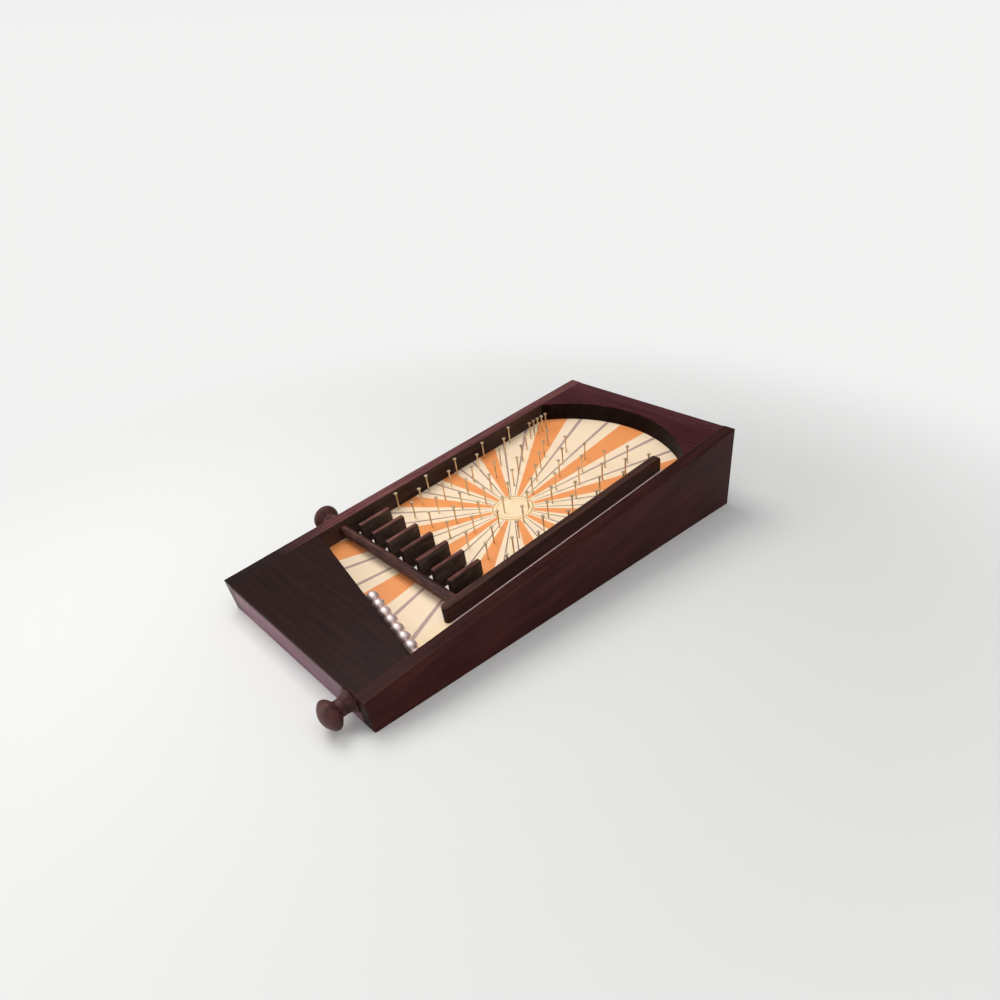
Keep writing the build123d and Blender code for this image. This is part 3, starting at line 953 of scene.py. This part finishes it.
@dataclass
class FlaredBush:
    """The plunger's turned bush, which flares like a trumpet towards the front board.

    Attributes:
        bore: Radius of the rod's way through it.
        spigot: Radius of the part that is let into the board.
        neck: Radius at the knob.
        flare: Radius at the board.
        rim: Thickness of the flare's edge.
        reach: How far it stands out of the board.
        turn_stations: Points round the axis.
        cove_stations: Points down the flare.
    """

    slope: SlopeFrame
    bore: float = 0.00305
    spigot: float = 0.007
    neck: float = 0.0082
    flare: float = 0.0125
    rim: float = 0.0015
    reach: float = 0.008
    turn_stations: int = 96
    cove_stations: int = 16

    def section(self, outer: float, inner: float) -> np.ndarray:
        """Half section of the bush.

        The flare is a quarter of an ellipse, along the axis at the knob's end and square to it at the edge.

        Args:
            outer: Place of the knob's end along the axis.
            inner: Place of the spigot's end.

        Returns:
            A closed loop of radius and place along the axis.
        """
        board = outer + self.reach
        sweep = np.linspace(0, math.pi / 2, self.cove_stations)
        radius = self.flare - (self.flare - self.neck) * np.cos(sweep)
        cove = np.stack((radius, outer + (self.reach - self.rim) * np.sin(sweep)), axis=1)
        let_in = [(self.flare, board), (self.spigot, board), (self.spigot, inner), (self.bore, inner)]
        return np.vstack(([(self.bore, outer)], cove, let_in))

    def build(self, material: bpy.types.Material) -> None:
        """Turns the section round the plunger's rod.

        Args:
            material: The bush's wood.
        """
        uphill = Vector(self.slope.uphill())
        rod = middle_of("plunger_rod")
        axis = np.array(rod - uphill * rod.dot(uphill))
        along = [point.co.dot(uphill) for point in frame["nodes"]["plunger_bush"].data.vertices]
        section = self.section(min(along), max(along))
        angle = np.linspace(0, 2 * math.pi, self.turn_stations, endpoint=False)[:, None, None]
        points = axis + self.slope.around(angle) * section[:, :1] + np.array(uphill) * section[:, 1:]
        number = np.arange(self.turn_stations * len(section)).reshape(self.turn_stations, -1)
        beside = np.roll(number, -1, axis=1)
        onward, across = np.roll(number, -1, axis=0), np.roll(beside, -1, axis=0)
        faces = np.stack((number, beside, across, onward), axis=-1).reshape(-1, 4).tolist()
        stand_in("flared_bush", "plunger_bush", points, faces, material)


@dataclass
class Controls:
    """The spring plunger and the gate rod, with their turned knobs."""

    slope: SlopeFrame
    draw: np.random.Generator

    def dress(self) -> None:
        """Stains the turned pieces, winds the spring and finishes the plunger's steel and nylon."""
        turned = {"plunger_bush": (BUSH, Grain.UP_SLOPE), "plunger_knob": (KNOB, Grain.UP_SLOPE),
                  "gate_knob": (KNOB, Grain.ACROSS), "gate_rod": (DOWEL, Grain.ACROSS)}
        woods = {piece: wood.material(self.slope, piece, grain, cut_from(self.draw))
                 for piece, (wood, grain) in turned.items()}
        FlaredBush(self.slope).build(woods.pop("plunger_bush"))
        for piece, material in woods.items():
            dress(piece, material)
        steel = DRAWN_STEEL.material()
        for piece in ("plunger_rod", "plunger_collar"):
            dress(piece, steel)
        CompressionSpring(self.slope).build(steel)
        dress("plunger_tip", NYLON.material())


@dataclass
class Balls:
    """The ball at the plunger and the balls in the tray."""

    tray_balls: int = 7

    def dress(self) -> None:
        """Polishes every ball."""
        steel = BALL_STEEL.material()
        for ball in ["shooter_ball"] + [f"tray_ball_{number}" for number in range(1, self.tray_balls + 1)]:
            dress(ball, steel)


@dataclass(frozen=True)
class SoftBox:
    """A square studio lamp that faces the object."""

    name: str
    place: Vec3
    side: float
    watts: float

    def build(self, aim: Vector) -> None:
        """Hangs the lamp.

        Args:
            aim: Point that the lamp faces.
        """
        lamp = bpy.data.lights.new(self.name, "AREA")
        lamp.size = self.side
        lamp.energy = self.watts
        holder = bpy.data.objects.new(self.name, lamp)
        holder.location = self.place
        holder.rotation_mode = "QUATERNION"
        holder.rotation_quaternion = (Vector(self.place) - aim).to_track_quat("Z", "Y")
        bpy.context.scene.collection.objects.link(holder)


@dataclass
class Studio:
    """Pale floor, soft light and the camera at the photograph's viewing angle.

    The camera's place, roll and lens come from a fit of the cabinet's corners; its pixel values are in the
    photograph's frame of 1000 by 1000.

    Attributes:
        fade: Distances at which the floor begins to pass into the backdrop's tone, and has that tone.
        dusk: Heights in the sky, of 1 overhead, at which it begins to dim, and is dimmest.
        roll: Turn of the camera about its own axis in degrees, as azimuth and elevation are.
        axis_px: Pixel that the camera's axis goes through.
    """

    floor_side: float = 40.0
    floor_tone: str = "#E6E5E2"
    floor_roughness: float = 0.75
    floor_specular: float = 0.1
    backdrop_tone: str = "#F2F2F1"
    sky_tone: str = "#8A8C90"
    fade: Pair = (0.3, 0.85)
    dusk: Pair = (0.04, 0.5)
    azimuth: float = 48.339
    elevation: float = 36.957
    roll: float = -2.807
    distance: float = 0.6755
    target: Vec3 = (0.091, -0.089, 0.025)
    focal_px: float = 693.6
    frame_px: float = 1000.0
    axis_px: Pair = (500.0, 600.0)
    near_clip: float = 0.01
    lamp_aim: Vec3 = (0.0, 0.0, 0.0)
    lamps: tuple[SoftBox, ...] = (
        SoftBox("left_softbox", (-0.65, -0.15, 1.3), 0.8, 8.8),
        SoftBox("overhead_softbox", (0.35, -0.3, 1.4), 1.6, 9.6),
        SoftBox("front_softbox", (-0.55, -1.3, 0.55), 0.8, 7.5),
    )

    def build_floor(self) -> None:
        """Lays one large level sheet under the object."""
        half = self.floor_side / 2
        corners = np.array([(-half, -half, 0), (half, -half, 0), (half, half, 0), (-half, half, 0)])
        mesh = bpy.data.meshes.new("floor")
        mesh.from_pydata(corners.tolist(), [], [(0, 1, 2, 3)])
        floor = bpy.data.objects.new("floor", mesh)
        bpy.context.scene.collection.objects.link(floor)
        material, tree, shader, place = blank("pale_floor")
        connect(tree, shader, {
            "Base Color": linear(self.floor_tone), "Roughness": self.floor_roughness,
            "Specular IOR Level": self.floor_specular})

        # Far from the object the floor passes into the backdrop's tone, for what is seen and mirrored
        away = add(tree, "VectorMath", {0: place}, operation="LENGTH")
        far = add(tree, "MapRange", {
            "Value": away.outputs["Value"], **between(self.fade)}, interpolation_type="SMOOTHSTEP")
        path = add(tree, "LightPath").outputs
        mirrored = add(tree, "Math", {
            0: path["Is Glossy Ray"], 1: path["Is Transmission Ray"]}, operation="MAXIMUM")
        seen = add(tree, "Math", {0: path["Is Camera Ray"], 1: mirrored.outputs[0]}, operation="MAXIMUM")
        share = add(tree, "Math", {0: far.outputs[0], 1: seen.outputs[0]}, operation="MULTIPLY")
        glow = add(tree, "Emission", {"Color": linear(self.backdrop_tone), "Strength": 1.0})
        passing = add(tree, "MixShader", {0: share.outputs[0], 1: shader.outputs[0], 2: glow.outputs[0]})
        output = next(node for node in tree.nodes if node.type == "OUTPUT_MATERIAL")
        tree.links.new(passing.outputs[0], output.inputs["Surface"])
        mesh.materials.append(material)

    def build_light(self) -> None:
        """Sets a sky that is pale all round the horizon and dims upwards, and hangs the soft boxes."""
        world = bpy.data.worlds.new("studio_sky")
        bpy.context.scene.world = world
        world.use_nodes = True
        tree = world.node_tree
        way = add(tree, "SeparateXYZ", {0: add(tree, "TexCoord").outputs["Generated"]})
        height = add(tree, "MapRange", {
            "Value": way.outputs[2], **between(self.dusk)}, interpolation_type="SMOOTHSTEP")
        tone = add(tree, "Mix", {
            "Factor": height.outputs[0], "A": linear(self.backdrop_tone), "B": linear(self.sky_tone)},
            data_type="RGBA")
        tree.links.new(tone.outputs["Result"], tree.nodes["Background"].inputs["Color"])
        for lamp in self.lamps:
            lamp.build(Vector(self.lamp_aim))

    def build_camera(self) -> None:
        """Places the camera: azimuth and elevation about the target, then a roll about its own axis."""
        turn, rise, roll = (math.radians(value) for value in (self.azimuth, self.elevation, self.roll))
        back = Vector((math.sin(turn) * math.cos(rise), -math.cos(turn) * math.cos(rise), math.sin(rise)))
        level = Vector((0, 0, 1)).cross(back).normalized()
        above = back.cross(level)
        right = level * math.cos(roll) + above * math.sin(roll)
        up = above * math.cos(roll) - level * math.sin(roll)
        lens = bpy.data.cameras.new("photo_camera")
        lens.lens = self.focal_px / self.frame_px * lens.sensor_width
        lens.shift_x = 0.5 - self.axis_px[0] / self.frame_px
        lens.shift_y = self.axis_px[1] / self.frame_px - 0.5
        lens.clip_start = self.near_clip
        holder = bpy.data.objects.new("photo_camera", lens)
        eye = Vector(self.target) + back * self.distance
        holder.matrix_world = Matrix.Translation(eye) @ Matrix((right, up, back)).transposed().to_4x4()
        bpy.context.scene.collection.objects.link(holder)
        bpy.context.scene.camera = holder

    def build(self) -> None:
        """Builds the whole stage."""
        self.build_floor()
        self.build_light()
        self.build_camera()
        bpy.context.scene.view_settings.view_transform = "Standard"


def main() -> None:
    """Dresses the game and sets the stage."""
    logging.basicConfig(level=logging.INFO, format="%(name)s: %(message)s")
    slope = SlopeFrame.from_board()
    draw = np.random.default_rng(SEED)
    Cabinet(slope, draw).dress()
    Playfield(slope).dress()
    Controls(slope, draw).dress()
    Balls().dress()
    Studio().build()


if __name__ == "__main__":
    main()
